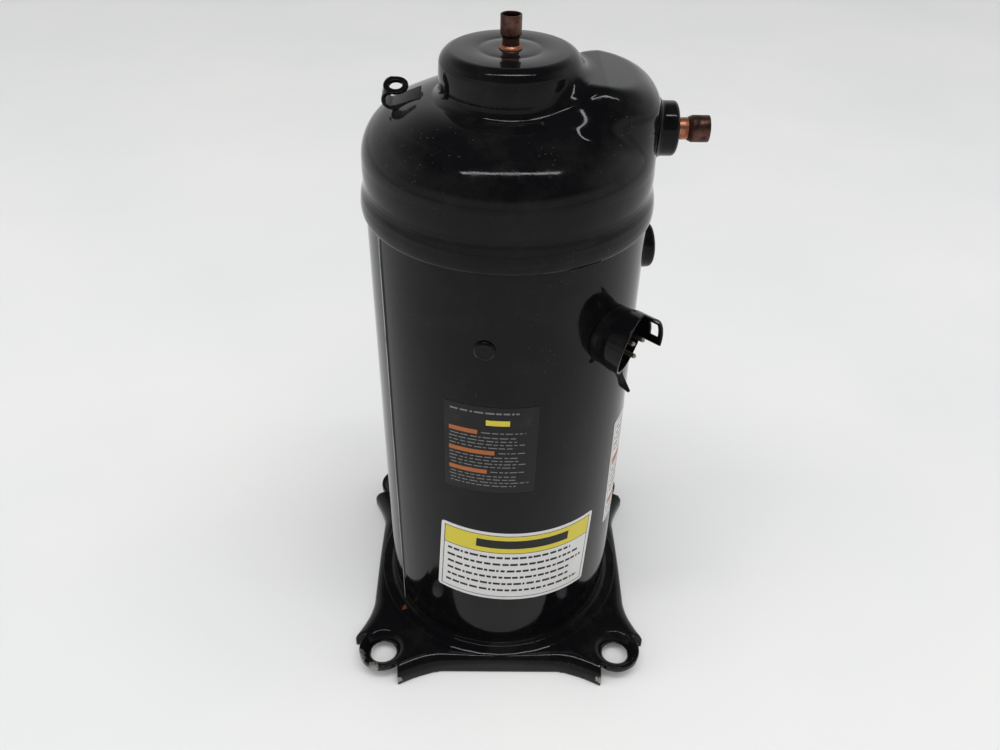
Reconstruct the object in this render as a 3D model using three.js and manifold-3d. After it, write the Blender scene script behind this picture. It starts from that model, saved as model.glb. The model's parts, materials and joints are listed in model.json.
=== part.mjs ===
// Hermetic scroll compressor with a lifting scroll for capacity modulation.
// Millimetres, +Z up. The origin is on the floor, on the axis of the shell.
// Azimuth is measured in degrees from the front (-Y) towards the right (+X).

import * as THREE from "three";
import { mergeVertices } from "three/addons/utils/BufferGeometryUtils.js";
import Module from "manifold-3d";

const wasm = await Module();
wasm.setup();

// ---------------------------------------------------------------- driving dimensions

const GAP = 0.3; // clearance between pieces that touch
const ROUND = 32; // facets round the shell and cap
const INNER_ROUND = 24; // facets round a large piece of the works
const SMALL_ROUND = 16; // facets of a small turned piece
const TRIM = 0.5; // height of a label's back above the shell
const LABEL_SHEET = 0.3;

const shell = { outer: 92.8, inner: 89.6, bottom: 17.8, top: 379.2 };

const base = {
  top: 17.5, // upper face of the plate above the floor
  sheet: 4,
  side: 107.5, // skirt face from the centre plane, on its straight stretch
  tip: 120.65, // skirt face at its flared ends
  straight: 57, // half length of the straight stretch
  end: 82, // half length of a skirt
  bend: 6, // outer radius between plate and skirt
  footPitch: 190.5, // square pattern of the mounting holes
  footRadius: 19.5,
  holeRadius: 10,
  upstand: 34, // top of the rim that plugs into the shell
};

const cap = {
  outer: 93.3,
  sheet: 4,
  lipOuter: 95.8,
  lipBottom: 370.6,
  seat: 382.8, // step that clamps the muffler plate
  shoulder: 29.2, // radius of the shoulder
  shoulderHeight: 406, // height of the shoulder's centre
  slope: 19.3, // fall of the cone in degrees
  puckRadius: 43.3,
  puckTop: 471,
  puckEdge: 8.8,
  fillet: 7, // concave radius at the foot of the puck
  filletHeight: 449.3,
  skirtTop: 392, // top of the upright wall above the lip
};

const boss = { top: 460, halfWidth: 50, edge: 14, foot: 400, centre: 45, flank: 40, corner: 10 };

const discharge = { azimuth: 90, height: 422.5, collarRadius: 17, collarEnd: 104.8, tubeEnd: 125.4 };
const suction = { azimuth: 98, height: 332, collarRadius: 15.8, collarEnd: 102, bore: 11 };
const terminal = { azimuth: 46.9, height: 309, pinCircle: 6.7, pinEnd: 114.8, bodyRadius: 14.6 };
const fence = { mouth: 21.4, root: 20.2, wall: 1.6, reach: 110.2, yaw: 15.5, dip: 9.6, tabEnd: 119.5 };
const hook = {
  radius: 69.5, // eye's centre from the axis of the shell
  eye: 4.1,
  width: 15.5,
  sheet: 2.2,
  foldRadius: 71.6,
  foldHeight: 441.6,
  foldOuter: 6.7,
  legEnd: 54.5,
};
const plug = { azimuth: -8.6, height: 315, hole: 5 }; // plug weld on an arm of the bearing housing

const orbit = 4.3; // throw of the crank pin, which points to the rear at rest
const wrap = { pitch: 16, wall: 3, start: 4, end: 20, step: 14 };
const key = { circle: 63.5, half: 4, clearance: 0.5 }; // keys of the Oldham ring
const bolt = { circle: 79, shank: 4, shoulder: 4.8, postTop: 339.2 };
const motor = { bottom: 115, top: 215, outer: 89, bore: 46, air: 0.6, shaft: 14 };
const stack = {
  bearingTop: 330.2, // face of the bearing housing under the orbiting scroll
  orbitingPlate: 330.6,
  orbitingTop: 339,
  fixedRim: 339.5,
  fixedPlate: 361.5,
};
const armAzimuths = [0, 90, 180, 270].map((turn) => turn + plug.azimuth);

// ---------------------------------------------------------------- solids

// Merge the shared vertices of a closed geometry and hand it over as a solid.
function toSolid(geometry) {
  const plain = geometry.clone();
  plain.deleteAttribute("normal");
  plain.deleteAttribute("uv");
  const merged = mergeVertices(plain, 1e-3);
  const position = merged.attributes.position;
  const corners = [0, 1, 2].map(() => new THREE.Vector3());
  const triangles = [];
  let volume = 0;
  for (let i = 0; i < merged.index.count; i += 3) {
    const triple = [0, 1, 2].map((k) => merged.index.getX(i + k));
    if (new Set(triple).size < 3) continue;
    triple.forEach((vertex, k) => corners[k].fromBufferAttribute(position, vertex));
    volume += corners[0].dot(corners[1].clone().cross(corners[2]));
    triangles.push(triple);
  }
  if (volume < 0) triangles.forEach((triple) => triple.reverse());
  return new wasm.Manifold(new wasm.Mesh({
    numProp: 3,
    vertProperties: new Float32Array(position.array),
    triVerts: new Uint32Array(triangles.flat()),
  }));
}

function toGeometry(solid) {
  const mesh = solid.getMesh();
  const geometry = new THREE.BufferGeometry();
  geometry.setAttribute("position", new THREE.BufferAttribute(new Float32Array(mesh.vertProperties), 3));
  geometry.setIndex([...mesh.triVerts]);
  return geometry;
}

function join(...geometries) {
  return toGeometry(geometries.map(toSolid).reduce((sum, solid) => sum.add(solid)));
}

function cut(geometry, ...tools) {
  return toGeometry(tools.map(toSolid).reduce((rest, tool) => rest.subtract(tool), toSolid(geometry)));
}

// ---------------------------------------------------------------- shapes

const rad = THREE.MathUtils.degToRad;

// Turn a profile of [radius, height] points about Z. It closes on the axis or on itself.
function turned(profile, segments = ROUND) {
  const points = profile.map(([radius, height]) => new THREE.Vector2(radius, height));
  if (profile[0][0] > 0) points.push(points[0].clone());
  return new THREE.LatheGeometry(points, segments).rotateX(Math.PI / 2);
}

function ring(inner, outer, bottom, top, segments = ROUND) {
  return turned([[inner, bottom], [outer, bottom], [outer, top], [inner, top]], segments);
}

function rod(radius, bottom, top, x = 0, y = 0, segments = SMALL_ROUND) {
  const geometry = new THREE.CylinderGeometry(radius, radius, top - bottom, segments);
  return geometry.rotateX(Math.PI / 2).translate(x, y, (bottom + top) / 2);
}

// A box given by its lowest and highest corners.
function block([x0, y0, z0], [x1, y1, z1]) {
  const geometry = new THREE.BoxGeometry(x1 - x0, y1 - y0, z1 - z0);
  return geometry.translate((x0 + x1) / 2, (y0 + y1) / 2, (z0 + z1) / 2);
}

function prism(outline, bottom, top) {
  const shape = new THREE.Shape(outline.map(([x, y]) => new THREE.Vector2(x, y)));
  const options = { depth: top - bottom, bevelEnabled: false };
  return new THREE.ExtrudeGeometry(shape, options).translate(0, 0, bottom);
}

// The point at a radius and azimuth, seen from above.
function polar(radius, azimuth) {
  return [radius * Math.sin(rad(azimuth)), -radius * Math.cos(rad(azimuth))];
}

// Points of an arc in a profile, with angles in degrees from the +radius direction.
function arc(radius, height, size, from, to, steps) {
  return Array.from({ length: steps + 1 }, (_, i) => {
    const angle = rad(from + (to - from) * i / steps);
    return [radius + size * Math.cos(angle), height + size * Math.sin(angle)];
  });
}

// A part of a ring between two azimuths.
function sector(inner, outer, from, to, bottom, top, steps = 8) {
  const azimuths = Array.from({ length: steps + 1 }, (_, i) => from + (to - from) * i / steps);
  const outside = azimuths.map((azimuth) => polar(outer, azimuth));
  const inside = azimuths.map((azimuth) => polar(inner, azimuth)).reverse();
  return prism([...outside, ...inside], bottom, top);
}

// A closed body through a row of rings with equal counts of [x, y, z] points.
// flat gives the two coordinates in which an end ring is seen as a plane outline.
function loft(rings, flat) {
  const count = rings[0].length;
  const positions = rings.flat(2);
  const indices = [];
  for (let i = 0; i + 1 < rings.length; i += 1) {
    for (let j = 0; j < count; j += 1) {
      const a = i * count + j;
      const b = i * count + (j + 1) % count;
      indices.push(a, b, b + count, a, b + count, a + count);
    }
  }
  const outline = rings[0].map((point) => new THREE.Vector2(...flat(point)));
  const area = THREE.ShapeUtils.area(outline);
  const last = (rings.length - 1) * count;
  for (const face of THREE.ShapeUtils.triangulateShape(outline, [])) {
    // The first end faces back along the row of rings and the last end faces on.
    const turnsTheSameWay = THREE.ShapeUtils.area(face.map((k) => outline[k])) * area > 0;
    const [a, b, c] = turnsTheSameWay ? face : [...face].reverse();
    indices.push(a, c, b, last + a, last + b, last + c);
  }
  const geometry = new THREE.BufferGeometry();
  geometry.setAttribute("position", new THREE.Float32BufferAttribute(positions, 3));
  return geometry.setIndex(indices);
}

// Put a shape made along +Z on the side of the shell: its Z becomes the distance from the
// axis, its Y points up and its X points along the shell towards higher azimuth.
function aim(geometry, azimuth, height) {
  const [outX, outY] = polar(1, azimuth);
  const along = new THREE.Vector3(-outY, outX, 0);
  const up = new THREE.Vector3(0, 0, 1);
  const out = new THREE.Vector3(outX, outY, 0);
  const frame = new THREE.Matrix4().makeBasis(along, up, out).setPosition(0, 0, height);
  return geometry.applyMatrix4(frame);
}

// ---------------------------------------------------------------- finishes

const finishes = {
  enamel: [0x0c0c0e, 0.2, 0.1],
  copper: [0x6a4232, 0.5, 0.8],
  brightCopper: [0xc07a55, 0.35, 0.9],
  steel: [0x8d8f90, 0.4, 0.9],
  castIron: [0x56585a, 0.7, 0.6],
  electricalSteel: [0x6e7276, 0.5, 0.8],
  bronze: [0x9a7440, 0.4, 0.9],
  enamelWire: [0xa5532a, 0.5, 0.5],
  plastic: [0x24262a, 0.6, 0],
  polymer: [0xb9ad8c, 0.6, 0],
  whiteLabel: [0xe9e9e6, 0.5, 0],
  blackLabel: [0x151517, 0.5, 0],
};

function part(name, geometry, finish) {
  const [color, roughness, metalness] = finishes[finish];
  const material = new THREE.MeshStandardMaterial({ color, roughness, metalness });
  const mesh = new THREE.Mesh(toGeometry(toSolid(geometry)), material);
  mesh.name = name;
  return mesh;
}

// ---------------------------------------------------------------- base and shell

const corners = [[-1, -1], [1, -1], [1, 1], [-1, 1]];
const footPlaces = corners.map(([x, y]) => [x * base.footPitch / 2, y * base.footPitch / 2]);

// Distance of a skirt's outer face from the centre plane: straight, then flared to its ends.
function skirtFace(along) {
  const beyond = Math.max(0, Math.abs(along) - base.straight) / (base.end - base.straight);
  return base.side + (base.tip - base.side) * beyond ** 1.2;
}

// One folded skirt along the front edge, with the round bend up to the plate.
function skirt() {
  const bendHeight = base.top - base.bend;
  const outer = arc(-base.bend, bendHeight, base.bend, 0, 90, 2);
  const inner = arc(-base.bend, bendHeight, base.bend - base.sheet, 90, 0, 1);
  const overlap = -base.bend - 4;
  const section = [[0, 0], ...outer, [overlap, base.top], [overlap, base.top - base.sheet], ...inner,
    [-base.sheet, 0]];
  const half = [base.straight, base.straight + 9, base.straight + 17, base.end];
  const stations = [...half.map((along) => -along).reverse(), ...half];
  const rings = stations.map((along) =>
    section.map(([outward, height]) => [along, -skirtFace(along) - outward, height]));
  return loft(rings, ([, y, z]) => [y, z]);
}

function quarterTurns(make) {
  return [0, 1, 2, 3].map((turn) => make().rotateZ(turn * Math.PI / 2));
}

function plateOutline() {
  const half = [base.straight, base.end - 12, base.end - 2];
  const stations = [...half.map((along) => -along).reverse(), ...half];
  const edge = stations.map((along) => [along, -skirtFace(along) + base.bend + 2]);
  const turns = [([x, y]) => [x, y], ([x, y]) => [-y, x], ([x, y]) => [-x, -y], ([x, y]) => [y, -x]];
  return turns.flatMap((turn) => edge.map(turn));
}

function basePlate() {
  const under = base.top - base.sheet;
  const rimOuter = shell.inner - GAP;
  const rimInner = rimOuter - base.sheet;
  // Plate edge, rim inside the shell, and the oil sump's dished floor.
  const centre = turned([
    [0, 4], [62, 5], [79.5, 28], [rimInner, 29], [rimInner, under], [96, under], [96, base.top],
    [rimOuter, base.top], [rimOuter, base.upstand], [76, base.upstand], [62, 9], [0, 8],
  ]);
  // Rolled edge of a foot hole, which dips through the plate.
  const rolled = [[18, base.top], [14.8, 16.6], [base.holeRadius, 9], [12.8, 9], [16.8, under],
    [18, under]];
  const feet = footPlaces.map(([x, y]) => rod(base.footRadius, under, base.top, x, y, 24));
  const holes = footPlaces.map(([x, y]) => rod(17.2, under - 1, base.top + 1, x, y));
  const rims = footPlaces.map(([x, y]) => turned(rolled, SMALL_ROUND).translate(x, y, 0));
  const plate = join(prism(plateOutline(), under, base.top), ...feet, ...quarterTurns(skirt));
  const opened = cut(plate, rod(94, under - 1, base.top + 1, 0, 0, ROUND), ...holes);
  return join(opened, centre, ...rims);
}

function baseWeld() {
  const toe = shell.outer + GAP;
  return turned([[toe, shell.bottom], [100.5, shell.bottom], [98, 20.6], [95.2, 24.4], [toe, 27]]);
}

function shellTube() {
  const tube = ring(shell.inner, shell.outer, shell.bottom, shell.top);
  const openings = [
    aim(rod(terminal.bodyRadius + GAP, 80, 100), terminal.azimuth, terminal.height),
    aim(rod(suction.bore + 1.6 + GAP, 80, 100), suction.azimuth, suction.height),
    aim(rod(plug.hole, 80, 100), plug.azimuth, plug.height),
    aim(rod(plug.hole, 80, 100), plug.azimuth + 180, plug.height),
  ];
  return cut(tube, ...openings);
}

function plugWeld(azimuth) {
  const button = turned([[0, 89.9], [4.6, 89.9], [4.6, 93.1], [7.2, 93.1], [7.2, 94.1], [5.8, 95],
    [0, 95.3]], SMALL_ROUND);
  return aim(button, azimuth, plug.height);
}

// ---------------------------------------------------------------- top cap

// One skin of the cap: the outside at inset 0, the inside at inset cap.sheet.
function capSkin(inset) {
  const straight = cap.outer - inset;
  const slope = 90 - cap.slope;
  const shoulderCentre = cap.outer - cap.shoulder;
  const puckCentre = cap.puckRadius - cap.puckEdge;
  const puckEdgeHeight = cap.puckTop - cap.puckEdge;
  const filletCentre = cap.puckRadius + cap.fillet;
  return [
    [0, cap.puckTop - inset],
    ...arc(puckCentre, puckEdgeHeight, cap.puckEdge - inset, 90, 0, 3),
    ...arc(filletCentre, cap.filletHeight, cap.fillet + inset, 180, 180 + slope, 2),
    ...arc(shoulderCentre, cap.shoulderHeight, cap.shoulder - inset, slope, 0, 4),
    [straight, cap.skirtTop],
  ];
}

// Reach of the boss's outline from its own centre, in a direction given from +X.
function bossReach(angle, inset) {
  const [c, s] = [Math.cos(angle), Math.sin(angle)];
  const radius = cap.outer - inset;
  const limits = [
    Math.sqrt(radius ** 2 - (boss.centre * s) ** 2) - boss.centre * c,
    (boss.halfWidth - inset) / Math.max(1e-6, Math.abs(s)),
  ];
  // Two flanks run from the puck outwards, one on each side of the boss.
  const [flankX, flankY] = [Math.cos(rad(boss.flank)), Math.sin(rad(boss.flank))];
  const away = Math.abs(s) * flankY - c * flankX;
  if (away > 0) limits.push((boss.centre * flankX - inset) / away);
  return limits.reduce((sum, limit) => sum + limit ** -boss.corner, 0) ** (-1 / boss.corner);
}

function bossBody(inset) {
  const steps = 24;
  const edgeHeight = boss.top - boss.edge;
  const level = (height, shrink) => Array.from({ length: steps }, (_, i) => {
    const angle = 2 * Math.PI * i / steps;
    const reach = bossReach(angle, inset + shrink);
    return [boss.centre + reach * Math.cos(angle), reach * Math.sin(angle), height];
  });
  const size = boss.edge - inset;
  const round = [0, 30, 60, 90].map((turn) =>
    level(edgeHeight + size * Math.sin(rad(turn)), size * (1 - Math.cos(rad(turn)))));
  return loft([level(boss.foot, 0), ...round], ([x, y]) => [x, y]);
}

function topCap() {
  const lipInner = shell.outer + GAP;
  const lip = [[93.7, 388.5], [95.3, 383], [cap.lipOuter, 376], [95.4, 371.6], [94.3, cap.lipBottom],
    [lipInner, cap.lipBottom], [lipInner, cap.seat], [cap.outer - cap.sheet, cap.seat]];
  const inside = capSkin(cap.sheet).reverse();
  const outerBody = turned([...capSkin(0), ...lip, [0, cap.seat]]);
  const hollow = turned([[0, cap.seat - 1], [cap.outer - cap.sheet, cap.seat - 1], ...inside]);
  const mouth = turned([[0, 360], [lipInner, 360], [lipInner, cap.seat], [0, cap.seat]]);
  return cut(
    join(outerBody, bossBody(0)),
    hollow,
    bossBody(cap.sheet),
    mouth,
    rod(5.6, 450, 480),
    aim(rod(11.4, 70, 100), discharge.azimuth, discharge.height),
  );
}

function liftingHook() {
  const { foldRadius: centre, foldHeight: height, foldOuter: outer, sheet } = hook;
  // Side view as [distance from the axis, height]: leg on the cap, fold, start of the eye.
  const side = [
    [hook.legEnd, 440.9], ...arc(centre, height, outer, -90, 90, 6),
    ...arc(centre, height, outer - sheet, 90, -80, 6), [hook.legEnd, 443.2],
  ];
  const strip = prism(side, -hook.width / 2, hook.width / 2).rotateX(Math.PI / 2).rotateZ(Math.PI);
  const eyeTop = height + outer;
  const disc = rod(hook.width / 2, eyeTop - sheet, eyeTop, -hook.radius);
  const eye = rod(hook.eye, eyeTop - sheet - 1, eyeTop + 1, -hook.radius);
  return cut(join(strip, disc), eye);
}

// ---------------------------------------------------------------- fittings

// A turned steel collar with a rounded outer edge, fitted to a wall of the given radius.
function collar({ azimuth, height, collarRadius, collarEnd }, bore, spigotRadius, spigotStart, wall) {
  const round = 3;
  const head = turned([[bore, 70], [collarRadius, 70], [collarRadius, collarEnd - round],
    ...arc(collarRadius - round, collarEnd - round, round, 45, 90, 1), [bore, collarEnd]], 24);
  // The cutter's flats, not its corners, stand clear of the wall.
  const clear = (wall + GAP) / Math.cos(Math.PI / ROUND);
  const trimmed = cut(aim(head, azimuth, height), rod(clear, height - 40, height + 40, 0, 0, ROUND));
  const spigot = ring(bore, spigotRadius, spigotStart, wall + 2, 24);
  return join(trimmed, aim(spigot, azimuth, height));
}

function dischargeTube() {
  const end = discharge.tubeEnd;
  const tube = turned([[5.9, 84], [6.9, 84], [6.9, 111.5], [8.4, 114.5], [8.4, end], [7.4, end],
    [7.4, 115], [5.9, 112]], SMALL_ROUND);
  return aim(tube, discharge.azimuth, discharge.height);
}

function modulationTube() {
  return turned([[4.2, 458], [5.2, 458], [5.2, 477.5], [6.5, 479], [6.5, 490.5], [5.5, 490.5],
    [5.5, 479.4], [4.2, 478]], SMALL_ROUND);
}

function modulationBraze() {
  return turned([[5.5, 471.3], [7.3, 471.3], [6.6, 472.6], [5.5, 473.4]], SMALL_ROUND);
}

// ---------------------------------------------------------------- electrical terminal

function terminalFence() {
  const { mouth, root, wall, reach, tabEnd } = fence;
  const cup = turned([[root, 84], [root, 96], [mouth, 104], [mouth, tabEnd], [mouth - wall, tabEnd],
    [mouth - wall, 104], [root - wall, 96], [root - wall, 84]], 24);
  // The mouth is cut on the slant, low on the side where the leads come out. A latch tab with
  // a window stands on past the slant.
  const slant = block([-40, -40, 0], [40, 40, 40]);
  slant.rotateX(rad(fence.dip)).rotateY(rad(fence.yaw)).translate(0, 0, reach);
  const tabArea = prism([[0, 0], [36, -13], [36, 40], [13, 40]], 84, 140);
  const window = block([8, -2, 110], [30, 9, 116]);
  // The lower latch tab is bent away from the mouth. Its side view is [distance, height].
  const bent = [[99, -18.8], [104.4, -20.6], [106.2, -24.5], [107.6, -29], [115.4, -33.2],
    [114.6, -34.8], [106.4, -30.4], [104.6, -25.4], [103, -22.4], [99, -20.8]];
  const lowerTab = prism(bent.map(([out, up]) => [-out, up]), -8, 1).rotateY(Math.PI / 2);
  const body = join(cut(cup, cut(slant, tabArea), window), lowerTab);
  return cut(aim(body, terminal.azimuth, terminal.height), rod(shell.outer + GAP, 250, 360, 0, 0, ROUND));
}

const pinPlaces = [15, 135, 255].map((turn) =>
  [terminal.pinCircle * Math.cos(rad(turn)), terminal.pinCircle * Math.sin(rad(turn))]);

function terminalBody() {
  const disc = turned([[0, 87], [12, 87], [terminal.bodyRadius, 89.5], [terminal.bodyRadius, 93.4],
    [17.4, 93.4], [17.4, 95.4], [0, 95.4]], SMALL_ROUND);
  const holes = pinPlaces.map(([x, y]) => rod(1.9, 80, 100, x, y, 12));
  return aim(cut(disc, ...holes), terminal.azimuth, terminal.height);
}

function terminalPin([x, y]) {
  const shank = turned([[0, 84], [1.6, 84], [1.6, terminal.pinEnd - 1], [1, terminal.pinEnd],
    [0, terminal.pinEnd]], 12);
  return aim(shank.translate(x, y, 0), terminal.azimuth, terminal.height);
}

function terminalPlug() {
  return aim(block([-13, -10, 77.4], [13, 10, 83.6]), terminal.azimuth, terminal.height);
}

// ---------------------------------------------------------------- labels

// A label laid on the shell: a tilted rectangle wrapped about the axis.
function label({ azimuth, height, width, tall, tilt, steps }) {
  const sheet = new THREE.BoxGeometry(width, tall, LABEL_SHEET, steps, 1, 1).rotateZ(rad(tilt));
  const place = sheet.attributes.position;
  for (let i = 0; i < place.count; i += 1) {
    const radius = shell.outer + TRIM + LABEL_SHEET / 2 + place.getZ(i);
    const [x, y] = polar(radius, azimuth + THREE.MathUtils.radToDeg(place.getX(i) / shell.outer));
    place.setXYZ(i, x, y, height + place.getY(i));
  }
  return sheet;
}

// ---------------------------------------------------------------- motor and shaft

function statorCore() {
  const core = ring(motor.bore, motor.outer, motor.bottom, motor.top, INNER_ROUND);
  // Four flats let the oil run down between the core and the shell.
  const flats = [45, 135, 225, 315].map((turn) =>
    sector(85, 96, turn - 13, turn + 13, motor.bottom - 1, motor.top + 1));
  return cut(core, ...flats);
}

// A winding's end turns, bevelled on the side away from the core.
function winding(bottom, top, bevelUp) {
  const [square, round] = bevelUp ? [bottom, top] : [top, bottom];
  const step = bevelUp ? -5 : 5;
  const section = [[50, square], [79, square], [79, round + step], [74, round], [54, round],
    [50, round + step]];
  return turned(section, INNER_ROUND);
}

function rotor() {
  const [bottom, top] = [motor.bottom + 2, motor.top - 2];
  return ring(motor.shaft + GAP, motor.bore - motor.air, bottom, top, INNER_ROUND);
}

function counterweight(middle, bottom, top) {
  const hub = ring(motor.shaft + GAP, 19, bottom, top, SMALL_ROUND);
  return join(hub, sector(16, 42, middle - 75, middle + 75, bottom, top));
}

function crankshaft() {
  const journals = turned([[0, 56], [11, 56], [11, 92], [motor.shaft, 92], [motor.shaft, 252], [16, 252],
    [16, 297.7], [0, 297.7]], INNER_ROUND);
  const pin = rod(9, 296, 326, 0, orbit);
  const oilway = rod(2.6, 50, 330, 0, 0, 12);
  return cut(join(journals, pin), oilway);
}

function lowerBearingHousing() {
  const hub = ring(13.5, 24, 64, 90, SMALL_ROUND);
  const arms = [30, 150, 270].flatMap((azimuth) => [
    block([20, -7, 70], [86, 7, 78]).rotateZ(rad(azimuth - 90)),
    sector(83, 89, azimuth - 9, azimuth + 9, 66, 82),
  ]);
  return cut(join(hub, ...arms), rod(13.5, 60, 95));
}

function oilPickup() {
  return turned([[3, 40], [5, 40], [10.8, 52], [10.8, 55.7], [9, 55.7], [9, 52.6], [3, 42]], SMALL_ROUND);
}

// ---------------------------------------------------------------- scroll set

function mainBearingHousing() {
  const body = turned([[19, 258], [32, 258], [32, 284], [60, 296], [89.1, 296], [89.1, 322.3],
    [53.2, 322.3], [53.2, stack.bearingTop], [29, stack.bearingTop], [29, 298], [19, 298]], INNER_ROUND);
  const windows = armAzimuths.map((azimuth) => sector(76.5, 96, azimuth + 16, azimuth + 74, 290, 330));
  // Two slots guide the lower keys, with room for the ring's travel each way.
  const reach = key.half + orbit + 1.1;
  const side = key.half + 0.4;
  const slots = [key.circle, -key.circle].map((x) =>
    block([x - reach, -side, 315.5], [x + reach, side, 323]));
  const places = armAzimuths.map((azimuth) => polar(bolt.circle, azimuth));
  const posts = places.map((place) => rod(5.6, 318, bolt.postTop, ...place));
  const holes = places.map((place) => rod(bolt.shank + GAP, 324, 340, ...place));
  return cut(join(cut(body, ...windows, ...slots), ...posts), ...holes);
}

function scrollBolt(azimuth) {
  const place = polar(bolt.circle, azimuth);
  const hexagon = new THREE.CylinderGeometry(7.2, 7.2, 7.6, 6).rotateX(Math.PI / 2);
  hexagon.translate(...place, 357.2);
  // The shank's shoulder stands on the post and leaves the scroll free to lift.
  const shoulder = rod(bolt.shoulder, bolt.postTop + GAP, 354, ...place);
  return join(rod(bolt.shank, 325, 354, ...place), shoulder, hexagon);
}

function oldhamRing() {
  const { circle, half } = key;
  const upper = [circle, -circle].map((y) => block([-half, y - half, 328], [half, y + half, 336]));
  const lower = [circle, -circle].map((x) => block([x - half, -half, 316], [x + half, half, 323]));
  return join(ring(58, 68, 322.6, 328.8, INNER_ROUND), ...upper, ...lower);
}

// A spiral wall: the involute of a circle, rotated by a turn given in degrees.
function spiral(bottom, top, turn) {
  const circle = wrap.pitch / (2 * Math.PI);
  const half = wrap.wall / 2 / circle;
  const count = Math.round((wrap.end - wrap.start) / rad(wrap.step));
  const side = (offset) => Array.from({ length: count + 1 }, (_, i) => {
    const roll = wrap.start + (wrap.end - wrap.start) * i / count;
    const [c, s] = [Math.cos(roll), Math.sin(roll)];
    return [circle * (c + (roll + offset) * s), circle * (s - (roll + offset) * c)];
  });
  return prism([...side(half), ...side(-half).reverse()], bottom, top).rotateZ(rad(turn));
}

function orbitingScroll() {
  const plate = turned([[0, 329.4], [16, 329.4], [16, 300], [20.5, 300], [20.5, stack.orbitingPlate],
    [64, stack.orbitingPlate], [64, stack.orbitingTop], [0, stack.orbitingTop]], INNER_ROUND);
  // Key notches are wide enough for the ring's side travel as well as the key.
  const side = key.half + 2 * orbit + 0.6;
  const inner = key.circle - key.half - orbit - key.clearance;
  const notches = [[inner, 72], [-72, -inner]].map(([y0, y1]) => block([-side, y0, 330], [side, y1, 340]));
  const wall = spiral(stack.orbitingTop - 1, stack.fixedPlate - 0.5, 0);
  return join(cut(plate, ...notches), wall).translate(0, orbit, 0);
}

function fixedScroll() {
  const body = turned([
    [6, stack.fixedPlate], [61, stack.fixedPlate], [61, stack.fixedRim], [86, stack.fixedRim], [86, 352],
    [66, 352], [62, 356], [62, 372], [52, 372], [52, 378], [46, 378], [46, 367], [19.6, 367], [19.6, 378],
    [14.2, 378], [14.2, 371], [6, 371],
  ], INNER_ROUND);
  const places = armAzimuths.map((azimuth) => polar(bolt.circle, azimuth));
  const sleeves = places.map((place) => rod(bolt.shoulder + 0.5, 335, 356, ...place));
  const inlet = sector(56, 92, suction.azimuth - 13, suction.azimuth + 13, 343, 349.5);
  return cut(join(body, spiral(stack.fixedRim, stack.fixedPlate + 0.5, 180)), ...sleeves, inlet);
}

function floatingSeal() {
  return turned([[20, 368], [45.6, 368], [45.6, 377], [36, 380], [34, 383.4], [29, 383.4], [27, 380],
    [20, 377]], INNER_ROUND);
}

function liftPiston() {
  const piston = turned([[8, 378.4], [18.5, 378.4], [18.5, 382], [12, 383], [12, 436], [29, 440], [29, 444],
    [27, 444], [27, 448], [29, 448], [29, 452], [1.2, 452], [1.2, 446], [8, 444]], INNER_ROUND);
  return cut(piston, block([-20, -3.5, 398], [20, 3.5, 412]), block([-3.5, -20, 398], [3.5, 20, 412]));
}

function mufflerPlate() {
  return turned([[14.5, 386], [71, 386], [80, 379.5], [92.4, 379.5], [92.4, 382.5], [81, 382.5],
    [72, 389], [14.5, 389]], INNER_ROUND);
}

function reliefValve() {
  const hexagon = new THREE.CylinderGeometry(6.5, 6.5, 5, 6).rotateX(Math.PI / 2).translate(-50, 0, 391.8);
  return join(hexagon, rod(4.4, 394, 401, -50, 0, 16));
}

// ---------------------------------------------------------------- assembly

const housing = new THREE.Group();
housing.add(
  part("base_plate", basePlate(), "enamel"),
  part("base_weld", baseWeld(), "enamel"),
  part("shell_tube", shellTube(), "enamel"),
  part("top_cap", topCap(), "enamel"),
  part("lifting_hook", liftingHook(), "enamel"),
  part("shell_plug_weld_front", plugWeld(plug.azimuth), "enamel"),
  part("shell_plug_weld_rear", plugWeld(plug.azimuth + 180), "enamel"),
  part("discharge_collar", collar(discharge, 7.2, 11, 86, cap.outer), "enamel"),
  part("discharge_tube", dischargeTube(), "copper"),
  part("modulation_tube", modulationTube(), "copper"),
  part("modulation_braze", modulationBraze(), "brightCopper"),
  part("suction_collar", collar(suction, suction.bore, suction.bore + 1.6, 89.9, shell.outer), "enamel"),
  part("terminal_fence", terminalFence(), "enamel"),
  part("terminal_body", terminalBody(), "steel"),
  ...pinPlaces.map((place, i) => part(`terminal_pin_${i + 1}`, terminalPin(place), "steel")),
  part("terminal_plug", terminalPlug(), "plastic"),
  part("lower_label", label({ azimuth: 8, height: 111, width: 124, tall: 76, tilt: -6.5, steps: 14 }),
    "whiteLabel"),
  part("upper_label", label({ azimuth: -6.7, height: 229, width: 66, tall: 81, tilt: 6, steps: 8 }),
    "blackLabel"),
  part("side_label", label({ azimuth: 112, height: 157, width: 118, tall: 119, tilt: 0, steps: 14 }),
    "whiteLabel"),
);

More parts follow.
